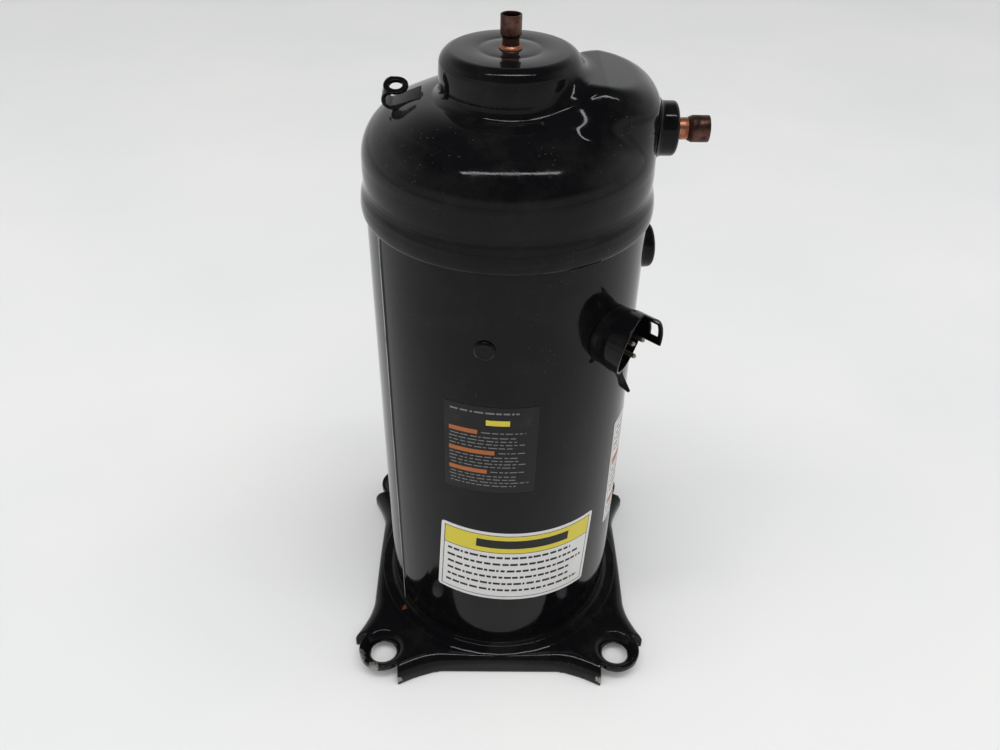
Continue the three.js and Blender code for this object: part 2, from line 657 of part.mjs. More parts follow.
const works = new THREE.Group();
works.add(
  part("muffler_plate", mufflerPlate(), "steel"),
  part("relief_valve", reliefValve(), "bronze"),
  part("lift_cylinder", ring(30.4, 34.4, 436, 466.7, INNER_ROUND), "steel"),
  part("main_bearing_housing", mainBearingHousing(), "castIron"),
  part("main_bearing", ring(16.3, 18.7, 259, 297, INNER_ROUND), "bronze"),
  ...armAzimuths.map((azimuth, i) => part(`scroll_bolt_${i + 1}`, scrollBolt(azimuth), "steel")),
  part("suction_baffle", sector(87.2, 88.8, 76, 120, 326, 368), "steel"),
  part("motor_stator", statorCore(), "electricalSteel"),
  part("upper_winding", winding(motor.top + GAP, 237, true), "enamelWire"),
  part("lower_winding", winding(93, motor.bottom - GAP, false), "enamelWire"),
  part("thermal_protector", block([-9, 58, 237.3], [9, 70, 244]), "plastic"),
  part("lower_bearing_housing", lowerBearingHousing(), "castIron"),
  part("lower_bearing", ring(11.3, 13.2, 65, 89, SMALL_ROUND), "bronze"),
  part("oil_magnet", ring(8, 14, 9.4, 13, SMALL_ROUND), "plastic"),
);

const shaft = new THREE.Group();
shaft.add(
  part("crankshaft", crankshaft(), "steel"),
  part("rotor", rotor(), "electricalSteel"),
  part("upper_counterweight", counterweight(0, 237.4, 251.4), "castIron"),
  part("lower_counterweight", counterweight(180, 102.7, 116.7), "castIron"),
  part("drive_bushing", ring(9.3, 13.4, 298.3, 325, SMALL_ROUND).translate(0, orbit, 0), "steel"),
  part("oil_pickup", oilPickup(), "steel"),
);

const scrolls = new THREE.Group();
scrolls.add(
  part("orbiting_scroll", orbitingScroll(), "castIron"),
  part("hub_bearing", ring(13.7, 15.7, 300, 328, SMALL_ROUND).translate(0, orbit, 0), "bronze"),
  part("oldham_ring", oldhamRing(), "steel"),
  part("fixed_scroll", fixedScroll(), "castIron"),
  part("valve_retainer", ring(6.5, 13.9, 375.2, 378.1, SMALL_ROUND), "steel"),
  part("discharge_valve", rod(9.5, 371.3, 373.3), "steel"),
  part("floating_seal", floatingSeal(), "polymer"),
  part("lift_piston", liftPiston(), "steel"),
  part("piston_ring", ring(27.3, 29.9, 444.3, 447.7, INNER_ROUND), "polymer"),
);

const compressor = new THREE.Group();
compressor.add(housing, works, shaft, scrolls);
export default compressor;
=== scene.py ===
import json
import math
import random

import bmesh
import bpy
import numpy as np
from mathutils import Matrix, Vector


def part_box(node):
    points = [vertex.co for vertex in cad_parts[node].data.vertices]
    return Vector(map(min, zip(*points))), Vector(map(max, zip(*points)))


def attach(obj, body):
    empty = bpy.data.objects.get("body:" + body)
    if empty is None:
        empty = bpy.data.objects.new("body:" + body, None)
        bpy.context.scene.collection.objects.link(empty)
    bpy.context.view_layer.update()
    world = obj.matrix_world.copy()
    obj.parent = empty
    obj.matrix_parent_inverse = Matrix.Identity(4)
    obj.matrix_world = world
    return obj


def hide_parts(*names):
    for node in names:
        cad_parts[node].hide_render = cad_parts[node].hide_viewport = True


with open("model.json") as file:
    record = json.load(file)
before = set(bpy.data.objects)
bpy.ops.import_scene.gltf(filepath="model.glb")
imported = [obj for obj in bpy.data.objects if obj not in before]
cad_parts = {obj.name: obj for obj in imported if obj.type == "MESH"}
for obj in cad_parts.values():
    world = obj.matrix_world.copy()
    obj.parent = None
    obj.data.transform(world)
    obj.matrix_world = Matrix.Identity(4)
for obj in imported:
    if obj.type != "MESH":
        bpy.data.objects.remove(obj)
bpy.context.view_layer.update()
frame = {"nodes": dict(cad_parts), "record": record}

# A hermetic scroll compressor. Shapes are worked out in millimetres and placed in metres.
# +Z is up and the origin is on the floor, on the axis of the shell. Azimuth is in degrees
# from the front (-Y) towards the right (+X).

MM = 0.001
COLUMNS = 256  # facets round the shell and cap
FINE = 96  # facets round a small turned piece
SHARP_EDGE = 38  # degrees from which an edge is shaded sharp

# ---------- sizes


def extent(node):
    """The low and high corners of a CAD node's box, in millimetres."""
    low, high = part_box(node)
    return low / MM, high / MM


shell_low, shell_high = extent("shell_tube")
cap_low, cap_high = extent("top_cap")
weld_low = extent("base_weld")[0]
base_high = extent("base_plate")[1]
collar_high = extent("discharge_collar")[1]
tube_high = extent("discharge_tube")[1]
stub_high = extent("modulation_tube")[1]

SHELL = {"outer": shell_high.x, "inner": shell_high.x - 3.2, "bottom": shell_low.z, "top": shell_high.z}
SEAM = {"azimuth": -59.5, "rise": 0.9, "width": 1.6, "clear": 8.0}  # weld bead along the rolled shell
FOOT_WELD = {"toe": SHELL["outer"] + 0.05, "edge": 104.0, "low": weld_low.z, "rise": 2.6}
CAP = {
    "outer": 93.3, "sheet": 4.0, "lip": cap_high.x, "lip_bottom": cap_low.z, "seat": 382.8,
    "shoulder": 29.2, "shoulder_height": 406.0, "slope": 19.3, "puck": 43.3, "top": cap_high.z,
    "edge": 8.8, "fillet": 7.0, "fillet_height": 449.3, "hole": 5.6, "ring": 19.0, "wall_low": 392.0,
}
EYE = np.array([0, 0, 400.0])  # the point on the axis from which the whole cap is seen
BOSS = {
    "top": 460.0, "half": 54.0, "edge": 17.0, "centre": 45.0, "flank": 40.0, "corner": 3.5,
    "fall_from": 56.0, "fall": 0.16,
    # The blend into the cap narrows between two heights, and closes between two radii.
    "blend": 26.0, "top_blend": 8.0, "narrows": (443, 456), "closes": (66, 91),
}
BASE = {
    "top": 17.5, "sheet": 4.0, "side": 107.5, "tip": base_high.x, "straight": 45.0, "end": 82.0,
    "bend": 6.0, "wide_bend": 11.0, "widens": 60.0, "middle": 94.0, "upstand": base_high.z,
    "foot": 95.25, "foot_radius": 19.5, "dish": 17.2, "hole": 10.0, "lip": 10.5,
}
# Fittings on the side of the shell: "hole" is what they cut in it, "spigot" and "start" what goes inside.
DISCHARGE = {"azimuth": 90.0, "height": 422.5, "radius": 17.0, "end": collar_high.x, "bore": 7.2,
             "hole": 11.4, "wall": CAP["outer"], "spigot": 11.0, "start": 86.0}
SUCTION = {"azimuth": 98.0, "height": 332.0, "radius": 15.8, "end": 102.0, "bore": 11.0,
           "hole": 12.9, "wall": SHELL["outer"], "spigot": 12.6, "start": 89.9}
TERMINAL = {"azimuth": 46.9, "height": 309.0, "hole": 14.9, "circle": 6.7, "pin": 1.6, "end": 114.8}
PLUGS = {side: {"azimuth": azimuth, "height": 315.0, "hole": 5.0}
         for side, azimuth in (("front", -8.6), ("rear", 171.4))}
FENCE = {"mouth": 21.4, "root": 20.2, "wall": 1.6, "reach": 110.2, "yaw": 15.5, "dip": 9.6, "tab": 119.5}
HOOK = {"radius": 69.5, "eye": 4.1, "width": 15.5, "sheet": 2.2, "fold": 71.6, "height": 441.6, "outer": 6.7,
        "tail": 54.5, "twist": 20.0}

LABEL_LIFT = 0.22  # a label's face above the shell
PRINT, BAND = 0.03, 0.02  # how thick print is on a label, and the coloured band under it
LOWER_LABEL = {"node": "lower_label", "slot": "white_label",
               "azimuth": 8.0, "height": 112.0, "width": 124.0, "tall": 74.5, "tilt": -4.0}
UPPER_LABEL = {"node": "upper_label", "slot": "black_label",
               "azimuth": -6.1, "height": 231.0, "width": 64.5, "tall": 77.0, "tilt": -0.5}
SIDE_LABEL = {"node": "side_label", "slot": "white_label",
              "azimuth": 103.5, "height": 164.0, "width": 138.0, "tall": 105.0, "tilt": 0.0}

# ---------- shared


def axes_at(azimuth):
    """Which way is out from the shell, and which way is along it towards higher azimuth."""
    turn = math.radians(azimuth)
    out = np.array([math.sin(turn), -math.cos(turn), 0])
    return out, np.array([-out[1], out[0], 0])


def new_object(name, data):
    made = bpy.data.objects.new(name, data)
    bpy.context.scene.collection.objects.link(made)
    return made


class Nodes:
    """A node tree, with short calls to add to it."""

    def __init__(self, tree, coordinate):
        self.tree = tree
        self.place = self.node("ShaderNodeTexCoord").outputs[coordinate]

    def give(self, socket, value):
        if isinstance(value, bpy.types.NodeSocket):
            self.tree.links.new(value, socket)
        else:
            socket.default_value = value

    def node(self, kind, values=None, **settings):
        made = self.tree.nodes.new(kind)
        for key, value in settings.items():
            setattr(made, key, value)
        for key, value in (values or {}).items():
            self.give(made.inputs[key], value)
        return made

    def ramp(self, value, low, high, at_low=0.0, at_high=1.0):
        """Map a pattern so that low becomes at_low and high becomes at_high, held beyond."""
        values = {"Value": value, "From Min": low, "From Max": high, "To Min": at_low, "To Max": at_high}
        return self.node("ShaderNodeMapRange", values, clamp=True).outputs["Result"]

    def math(self, operation, first, second=0.0, kind="ShaderNodeMath"):
        made = self.node(kind, {0: first, 1: second}, operation=operation)
        return made.outputs["Value"]


# ---------- camera and stage

CAMERA_PLACE = Vector((-11.352, -541.408, 643.693)) * MM
CAMERA_TURN = {"yaw": 0.944, "pitch": 37.710, "roll": 1.156}  # degrees
CAMERA_LENS = 32.353  # on a sensor 36 mm wide
LAMPS_AIM = Vector((0, 0, 0.3))
FLOOR_HALF = 6.0  # metres from the middle of the floor to its sides


def make_camera():
    yaw, pitch, roll = (math.radians(CAMERA_TURN[key]) for key in ("yaw", "pitch", "roll"))
    ahead = Vector((math.sin(yaw) * math.cos(pitch), math.cos(yaw) * math.cos(pitch), -math.sin(pitch)))
    level = Vector((math.cos(yaw), -math.sin(yaw), 0))
    upright = level.cross(ahead)
    right = level * math.cos(roll) + upright * math.sin(roll)
    up = upright * math.cos(roll) - level * math.sin(roll)
    data = bpy.data.cameras.new("camera")
    data.lens = CAMERA_LENS
    data.sensor_width = 36
    camera = new_object("camera", data)
    camera.matrix_world = Matrix((right, up, -ahead)).transposed().to_4x4()
    camera.matrix_world.translation = CAMERA_PLACE
    bpy.context.scene.camera = camera


def lamp(name, kind, place, power, mirrored=False):
    """A lamp aimed near the object's middle; only a mirrored one shows in the gloss of the enamel."""
    data = bpy.data.lights.new(name, kind)
    data.energy = power
    light = new_object(name, data)
    light.location = place
    light.rotation_euler = (LAMPS_AIM - light.location).to_track_quat("-Z", "Y").to_euler()
    light.visible_glossy = mirrored
    return data


def make_world():
    """A room with pale walls behind and beside the object, a dark ceiling and a dark front,
    and a pale band all round just above the horizon."""
    world = bpy.data.worlds.new("room")
    bpy.context.scene.world = world
    world.use_nodes = True
    nodes = Nodes(world.node_tree, "Generated")
    way = nodes.node("ShaderNodeSeparateXYZ", {"Vector": nodes.place}).outputs
    walls = nodes.ramp(way["Z"], 0.42, 0.78, 0.9, 0.05)
    room = nodes.math("MULTIPLY", walls, nodes.ramp(way["Y"], -0.55, 0.15, 0.10, 1.0))
    band = nodes.ramp(way["Z"], 0.12, 0.32, 0.78, 0.0)
    background = world.node_tree.nodes["Background"].inputs
    nodes.give(background["Color"], (0.90, 0.91, 0.90, 1))
    nodes.give(background["Strength"], nodes.math("MAXIMUM", room, band))


def make_lights():
    for name, place, power, width, tall, mirrored in (
        ("ceiling_strip", (0.03, -0.50, 2.3), 15, 1.9, 0.15, True),
        ("left_fill", (-2.0, -0.6, 1.2), 14, 1.6, 1.6, False),
        ("right_fill", (2.0, -0.2, 1.2), 10, 1.6, 1.6, False),
    ):
        box = lamp(name, "AREA", place, power, mirrored)
        box.shape, box.size, box.size_y = "RECTANGLE", width, tall
    sky = lamp("soft_sky", "SUN", (0.15, -0.7, 2.6), 2.0)
    sky.angle = math.radians(75)
    make_world()
    bpy.context.scene.view_settings.view_transform = "Standard"


# ---------- materials


class Finish(Nodes):
    """A node material, with short calls for its patterns, colours and bump."""

    def __init__(self, name, color, roughness, metallic=0.0, coat=0.0):
        self.material = bpy.data.materials.new(name)
        self.material.use_nodes = True
        super().__init__(self.material.node_tree, "Object")
        self.shader = self.tree.nodes["Principled BSDF"]
        self.set("Base Color", (*color, 1))
        self.set("Roughness", roughness)
        self.set("Metallic", metallic)
        self.set("Coat Weight", coat)
        self.set("Coat Roughness", 0.06)

    def set(self, name, value):
        """Give an input of the shader a value, or link a pattern to it."""
        self.give(self.shader.inputs[name], value)

    def stretched(self, scale):
        values = {"Vector": self.place, "Scale": scale}
        return self.node("ShaderNodeMapping", values).outputs["Vector"]

    def noise(self, scale, detail=4.0, stretch=(1, 1, 1), rough=0.5):
        values = {"Vector": self.stretched(stretch), "Scale": scale, "Detail": detail, "Roughness": rough}
        return self.node("ShaderNodeTexNoise", values).outputs["Fac"]

    def cells(self, scale, stretch=(1, 1, 1)):
        values = {"Vector": self.stretched(stretch), "Scale": scale}
        return self.node("ShaderNodeTexVoronoi", values).outputs["Distance"]

    def bands(self, scale, axis="Z", distortion=0.0):
        values = {"Vector": self.place, "Scale": scale, "Distortion": distortion, "Detail": 1.0}
        return self.node("ShaderNodeTexWave", values, bands_direction=axis).outputs["Fac"]

    def mix(self, factor, first, second):
        first, second = ((*color, 1) if isinstance(color, tuple) else color for color in (first, second))
        return self.node("ShaderNodeMix", {0: factor, 6: first, 7: second}, data_type="RGBA").outputs[2]

    def tint(self, factor, first, second):
        self.set("Base Color", self.mix(factor, first, second))

    def blend(self, factor, first, second):
        return self.node("ShaderNodeMix", {0: factor, 2: first, 3: second}, data_type="FLOAT").outputs[0]

    def near(self, place, radius, ragged=0.5):
        """1 close to a place in millimetres, falling to 0 at a ragged edge."""
        distance = self.math("DISTANCE", self.place, Vector(place) * MM, "ShaderNodeVectorMath")
        rough_edge = self.ramp(self.noise(420, 5), 0.3, 0.7, 1 - ragged, 1 + ragged)
        distance = self.math("DIVIDE", distance, rough_edge)
        return self.ramp(distance, radius * MM * 0.8, radius * MM, 1.0, 0.0)

    def line_up(self, azimuth, half_width):
        """1 on an upright line along the side of the shell, 0 elsewhere."""
        beyond, beside = (self.math("DOT_PRODUCT", self.place, Vector(axis), "ShaderNodeVectorMath")
                          for axis in axes_at(azimuth))
        line = self.ramp(self.math("ABSOLUTE", beside), half_width * MM * 0.5, half_width * MM, 1.0, 0.0)
        return self.math("MULTIPLY", line, self.ramp(beyond, 0.0, 0.01))

    def bump(self, height, distance, strength=1.0):
        values = {"Height": height, "Distance": distance, "Strength": strength}
        before = self.shader.inputs["Normal"]
        if before.is_linked:
            values["Normal"] = before.links[0].from_socket
        self.set("Normal", self.node("ShaderNodeBump", values).outputs["Normal"])


BLACK = (0.0034, 0.0034, 0.0040)
BARE_STEEL = (0.30, 0.285, 0.26)
RUST = (0.085, 0.028, 0.010)


def enamel(name, worn=(), rusty=(), scratched=False, dusty=0.5, seam=False):
    """Gloss black enamel: a slight peel, dust, runs, scratches, worn edges, rust spots, and a painted
    highlight along the shell's seam.
    """
    finish = Finish(name, BLACK, 0.1)
    finish.set("Specular IOR Level", 0.165)
    dust = finish.ramp(finish.noise(34, 8, rough=0.7), 0.47, 0.78, 0.0, dusty)
    specks = finish.ramp(finish.cells(310), 0.0, 0.13, 1.0, 0.0)
    sparse = finish.ramp(finish.noise(22, 3), 0.55, 0.62)
    specks = finish.math("MULTIPLY", specks, sparse)
    runs = finish.ramp(finish.noise(150, 3, stretch=(1, 1, 0.07)), 0.52, 0.72, 0.0, 0.35)
    color = finish.mix(finish.math("MULTIPLY", dust, 0.05), BLACK, (0.22, 0.21, 0.19))
    color = finish.mix(finish.math("MULTIPLY", specks, 0.22), color, (0.45, 0.44, 0.42))
    roughness = finish.ramp(finish.math("ADD", dust, runs), 0.0, 1.0, 0.07, 0.26)
    metallic = 0.0
    if scratched:
        lines = finish.ramp(finish.cells(46, stretch=(1, 9, 5)), 0.0, 0.018, 1.0, 0.0)
        few = finish.ramp(finish.noise(13, 2), 0.54, 0.60)
        lines = finish.math("MULTIPLY", lines, few)
        color = finish.mix(finish.math("MULTIPLY", lines, 0.5), color, (0.36, 0.35, 0.34))
        roughness = finish.blend(lines, roughness, 0.5)
    for place, radius in worn:
        bare = finish.near(place, radius)
        color = finish.mix(bare, color, BARE_STEEL)
        metallic = finish.math("MAXIMUM", metallic, bare)
        roughness = finish.blend(bare, roughness, 0.42)
    for place, radius in rusty:
        spot = finish.near(place, radius, 0.7)
        color = finish.mix(spot, color, RUST)
        roughness = finish.blend(spot, roughness, 0.85)
    # Painted highlight: a pale grey, ragged line along the shell's seam, standing in for the light its weld
    # bead catches.
    if seam:
        line = finish.line_up(SEAM["azimuth"], SEAM["width"] / 2)
        line = finish.math("MULTIPLY", line, finish.ramp(finish.noise(40, 4), 0.35, 0.6, 0.35, 0.9))
        color = finish.mix(line, color, (0.34, 0.34, 0.34))
        roughness = finish.blend(line, roughness, 0.45)
    finish.set("Base Color", color)
    finish.set("Roughness", roughness)
    finish.set("Metallic", metallic)
    finish.bump(finish.noise(260, 2), 0.00006, 0.35)
    finish.bump(finish.noise(28, 2), 0.0004, 0.1)
    return finish.material


DARK_COPPER = ((0.045, 0.024, 0.021), (0.16, 0.080, 0.062))  # the oxide, and its patches
BRIGHT_COPPER = ((0.28, 0.10, 0.055), (0.66, 0.30, 0.19))


def copper(name, oxide, patch_color):
    """Copper tube: oxide with brighter patches where it was heated or handled."""
    finish = Finish(name, (0.30, 0.12, 0.07), 0.4, metallic=1.0)
    patches = finish.ramp(finish.noise(120, 6, rough=0.65), 0.38, 0.64)
    finish.tint(patches, oxide, patch_color)
    finish.set("Roughness", finish.ramp(patches, 0.0, 1.0, 0.58, 0.30))
    finish.bump(finish.noise(900, 4), 0.00008, 0.5)
    finish.bump(finish.noise(160, 3), 0.00035, 0.4)
    return finish.material


def machined(name, color, roughness=0.32):
    """Turned metal with fine rings across its axis and slight stains."""
    finish = Finish(name, color, roughness, metallic=1.0)
    rings = finish.bands(900, "Z", 1.5)
    stain = finish.ramp(finish.noise(60, 5), 0.4, 0.75)
    finish.tint(stain, color, tuple(value * 0.72 for value in color))
    finish.set("Roughness", finish.ramp(stain, 0.0, 1.0, roughness, roughness + 0.18))
    finish.bump(rings, 0.00002, 0.5)
    return finish.material


def cast_iron():
    """Sand-cast grey iron with a grainy skin."""
    color = (0.13, 0.13, 0.14)
    finish = Finish("cast_iron", color, 0.55, metallic=0.85)
    grain = finish.noise(700, 8, rough=0.7)
    finish.tint(finish.ramp(grain, 0.35, 0.7), color, (0.21, 0.205, 0.2))
    finish.set("Roughness", finish.ramp(grain, 0.3, 0.7, 0.45, 0.7))
    finish.bump(grain, 0.00025, 0.6)
    return finish.material


def laminations():
    """Stacked electrical steel, with the edges of its half-millimetre sheets showing."""
    finish = Finish("laminations", (0.22, 0.23, 0.25), 0.45, metallic=0.9)
    sheets = finish.bands(314, "Z")
    tint = finish.ramp(finish.noise(40, 4), 0.35, 0.7)
    finish.tint(tint, (0.17, 0.18, 0.21), (0.29, 0.28, 0.27))
    finish.bump(sheets, 0.00012, 0.8)
    return finish.material


def enamelled_wire():
    """Bundled copper wire under varnish."""
    finish = Finish("enamelled_wire", (0.42, 0.14, 0.05), 0.3, metallic=0.5, coat=0.5)
    wires = finish.bands(170, "DIAGONAL", 6.0)
    finish.tint(wires, (0.16, 0.04, 0.015), (0.52, 0.19, 0.07))
    finish.bump(wires, 0.0006, 0.9)
    return finish.material


def moulded(name, color, roughness):
    """Moulded plastic or polymer with a fine grain."""
    finish = Finish(name, color, roughness)
    grain = finish.noise(1400, 3)
    shade = finish.ramp(finish.noise(90, 4), 0.35, 0.7)
    finish.tint(shade, color, tuple(value * 1.25 for value in color))
    finish.bump(grain, 0.00005, 0.4)
    return finish.material


def vinyl(name, color, roughness=0.3, dirt=0.12):
    """Printed vinyl with a soft sheen, faint dirt and a very slight ripple."""
    finish = Finish(name, color, roughness)
    finish.set("Specular IOR Level", 0.22)
    grime = finish.ramp(finish.noise(70, 6, rough=0.7), 0.52, 0.8, 0.0, dirt)
    finish.tint(grime, color, (0.20, 0.19, 0.17))
    finish.set("Roughness", finish.ramp(grime, 0.0, dirt, roughness, roughness + 0.2))
    finish.bump(finish.noise(90, 2), 0.00008, 0.4)
    return finish.material


def glass_bead():
    finish = Finish("glass_bead", (0.10, 0.13, 0.11), 0.12, coat=0.4)
    finish.bump(finish.noise(600, 2), 0.00005, 0.4)
    return finish.material


def floor_finish():
    finish = Finish("floor", (0.70, 0.70, 0.70), 0.55)
    tone = finish.ramp(finish.noise(3, 3), 0.3, 0.7)
    finish.tint(tone, (0.68, 0.685, 0.69), (0.72, 0.72, 0.715))
    return finish.material


# ---------- mesh work


def new_mesh(name, points, faces):
    """A mesh from points in millimetres."""
    mesh = bpy.data.meshes.new(name)
    mesh.from_pydata((np.asarray(points, float) * MM).tolist(), [], faces)
    return mesh


def clean_mesh(name, points, faces):
    """A mesh whose coinciding points are merged and whose faces are turned outwards."""
    mesh = new_mesh(name, points, faces)
    work = bmesh.new()
    work.from_mesh(mesh)
    bmesh.ops.remove_doubles(work, verts=work.verts, dist=1e-7)
    bmesh.ops.dissolve_degenerate(work, edges=work.edges, dist=1e-8)
    bmesh.ops.recalc_face_normals(work, faces=work.faces)
    work.to_mesh(mesh)
    work.free()
    return mesh


def add_piece(name, shape, material, slot, *nodes):
    """Make a shape a smooth piece of the housing, standing for some CAD nodes."""
    mesh = clean_mesh(name, *shape)
    mesh.materials.append(material)
    mesh.shade_smooth()
    mesh.set_sharp_from_angle(angle=math.radians(SHARP_EDGE))
    piece = new_object(name, mesh)
    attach(piece, "housing")
    if nodes:
        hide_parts(*nodes)


def tube_faces(rows, columns, wrap_rows=True):
    """Faces of a grid that closes round its columns, and round its rows too if asked."""
    first = np.arange(rows * columns).reshape(rows, columns)
    beside = np.roll(first, -1, 1)
    faces = np.stack([first, beside, np.roll(beside, -1, 0), np.roll(first, -1, 0)], -1)
    return faces[:rows if wrap_rows else rows - 1].reshape(-1, 4).tolist()


def rounded(profile, steps=5):
    """Round the corners of a closed outline of [u, v] or [u, v, corner radius] points."""
    made = []
    count = len(profile)
    for i, point in enumerate(profile):
        here = Vector(point[:2])
        if len(point) < 3:
            made.append(tuple(here))
            continue
        back = Vector(profile[i - 1][:2]) - here
        on = Vector(profile[(i + 1) % count][:2]) - here
        half = back.angle(on) / 2
        reach = min(point[2] / math.tan(half), back.length * 0.49, on.length * 0.49)
        start, end = here + back.normalized() * reach, here + on.normalized() * reach
        for k in range(steps + 1):
            t = k / steps
            made.append(tuple(start.lerp(here, t).lerp(here.lerp(end, t), t)))
    return made


def arc(u, v, size, start, end, steps):
    turns = [math.radians(start + (end - start) * k / steps) for k in range(steps + 1)]
    return [(u + size * math.cos(turn), v + size * math.sin(turn)) for turn in turns]


def round_turn(columns):
    """Evenly spaced angles all round."""
    return np.arange(columns) * 2 * math.pi / columns


def ring(radii, angles, heights):
    """Points round the Z axis."""
    return np.stack([radii * np.cos(angles), radii * np.sin(angles), heights + 0 * angles], -1)


def closed_grid(rows):
    """A solid whose skin is a closed run of rings round the Z axis."""
    return np.concatenate(rows), tube_faces(len(rows), len(rows[0]))


def turned(profile, columns=FINE, change=None):
    """A solid from a closed [radius, height] outline turned about Z.
    change may alter each row's radii and heights by the angles round the piece."""
    angles = round_turn(columns)
    rows = []
    for radius, height in profile:
        radii, heights = np.full(columns, radius), np.full(columns, height)
        if change:
            radii, heights = change(radii, heights, angles)
        rows.append(ring(radii, angles, heights))
    return closed_grid(rows)


def mounted(shape, fitting):
    """Move a shape made along +Z to a fitting's place on the side of the shell: Z becomes the
    distance from the axis, Y points up and X points along the shell."""
    points, faces = np.asarray(shape[0], float), shape[1]
    out, along = axes_at(fitting["azimuth"])
    points = points[:, 0:1] * along + points[:, 1:2] * [0, 0, 1] + points[:, 2:3] * out
    return points + [0, 0, fitting["height"]], faces


def shape_of(mesh):
    """The points and faces of a mesh, in millimetres."""
    points = np.array([tuple(vertex.co) for vertex in mesh.vertices]) / MM
    return points, [tuple(face.vertices) for face in mesh.polygons]


def join_shapes(shapes):
    points, faces, start = [], [], 0
    for shape_points, shape_faces in shapes:
        points.append(shape_points)
        faces += [tuple(index + start for index in face) for face in shape_faces]
        start += len(shape_points)
    return np.concatenate(points), faces


def add_remesh(worker, voxel):
    """Give an object one skin round everything in it, from its overlapping solids."""
    modifier = worker.modifiers.new("skin", "REMESH")
    modifier.mode = "VOXEL"
    modifier.voxel_size = voxel * MM


def worked(solids, cutters=(), voxel=None, smoothing=0):
    """Merge overlapping solids by a remesh, cut others from them, and soften what is left."""
    solids = [shape_of(clean_mesh("work", *solid)) for solid in solids]
    main = new_object("work", new_mesh("work", *join_shapes(solids)))
    if voxel and cutters:
        add_remesh(main, voxel)
    helpers = [new_object("work", clean_mesh("work", *cutter)) for cutter in cutters]
    for helper in helpers:
        modifier = main.modifiers.new("cut", "BOOLEAN")
        modifier.operation = "DIFFERENCE"
        modifier.solver = "EXACT"
        modifier.object = helper
    if voxel:
        add_remesh(main, voxel)
        smooth = main.modifiers.new("smooth", "SMOOTH")
        smooth.factor = 0.5
        smooth.iterations = smoothing
    bpy.context.view_layer.update()
    graph = bpy.context.evaluated_depsgraph_get()
    made = shape_of(bpy.data.meshes.new_from_object(main.evaluated_get(graph)))
    for worker in (main, *helpers):
        bpy.data.objects.remove(worker)
    return made


def cylinder(radius, low, high, columns=FINE):
    return turned([(0, low), (radius, low), (radius, high), (0, high)], columns)


def moved(shape, place):
    points, faces = shape
    return points + np.asarray(place, float), faces


def prism(outline, low, high):
    """A flat outline of [x, y] points made solid between two heights."""
    count = len(outline)
    points = [(*point, height) for height in (low, high) for point in outline]
    sides = [(i, (i + 1) % count, count + (i + 1) % count, count + i) for i in range(count)]
    ends = [tuple(reversed(range(count))), tuple(range(count, 2 * count))]
    return np.array(points, float), sides + ends


def loft(rings):
    """A solid through a row of rings of equal counts of points."""
    count = len(rings[0])
    points = np.concatenate(np.asarray(rings, float))
    last = (len(rings) - 1) * count
    ends = [tuple(range(count)), tuple(reversed(range(last, last + count)))]
    return points, tube_faces(len(rings), count, wrap_rows=False) + ends


# ---------- shell and welds


def saddle(radius_of_wall, radius, angles):
    """Distance from the axis at which a circle round a fitting meets a round wall."""
    return np.sqrt(radius_of_wall**2 - (radius * np.cos(angles)) ** 2)


def make_shell(material):
    """The rolled shell, with its raised seam and the holes behind its fittings."""
    seam = math.radians(SEAM["azimuth"] - 90)
    near_seam = seam + np.linspace(-0.05, 0.05, 41)
    angles = np.unique(np.round(np.concatenate([round_turn(COLUMNS), near_seam % (2 * math.pi)]), 6))
    offset = (angles - seam + math.pi) % (2 * math.pi) - math.pi
    raised = SEAM["rise"] * np.exp(-((offset * SHELL["outer"] / SEAM["width"]) ** 2))
    rows = []
    for face, share in [("inner", 0), *[("outer", k / 12) for k in range(13)], ("inner", 1)]:
        height = SHELL["bottom"] + share * (SHELL["top"] - SHELL["bottom"])
        # The seam sinks away below the cap's lip, which has no room for it.
        shown = face == "outer" and height < CAP["lip_bottom"] - SEAM["clear"]
        rows.append(ring(SHELL[face] + shown * raised, angles, height))
    cutters = [mounted(cylinder(fitting["hole"], 80, 100), fitting)
               for fitting in (TERMINAL, SUCTION, *PLUGS.values())]
    add_piece("shell", worked([closed_grid(rows)], cutters), material, "enamel", "shell_tube")


def make_base_weld(material):
    """The wide, flat weld between the shell's foot and the plate, with a slight unevenness."""
    toe, edge, low = FOOT_WELD["toe"], FOOT_WELD["edge"], FOOT_WELD["low"]
    high = low + FOOT_WELD["rise"]

    def uneven(radii, heights, angles):
        waves = 0.12 * np.sin(angles * 47) + 0.10 * np.sin(angles * 29 + 1.0) + 0.1 * np.sin(angles * 11)
        return radii + waves * np.clip((radii - toe) / 4, 0, 1), heights

    profile = rounded([
        (toe, low), (edge, low), (edge, low + 0.25, 0.2), (edge - 1.2, low + 0.75, 0.6),
        (toe + 3.2, low + 0.9, 2.0), (toe + 0.4, high, 0.8), (toe, high),
    ])
    add_piece("foot_weld", turned(profile, COLUMNS * 2, uneven), material, "enamel", "base_weld")


def make_plug_welds(material):
    profile = rounded([
        (0, 89.9), (4.6, 89.9), (4.6, SHELL["outer"] + 0.05), (7.2, SHELL["outer"] + 0.05, 0.4),
        (7.0, 94.0, 0.6), (5.6, 94.9, 0.5), (3.4, 94.6, 0.8), (0, 94.9),
    ])
    for side, fitting in PLUGS.items():
        shape = mounted(turned(profile), fitting)
        add_piece(f"plug_weld_{side}", shape, material, "enamel", f"shell_plug_weld_{side}")


# ---------- top cap


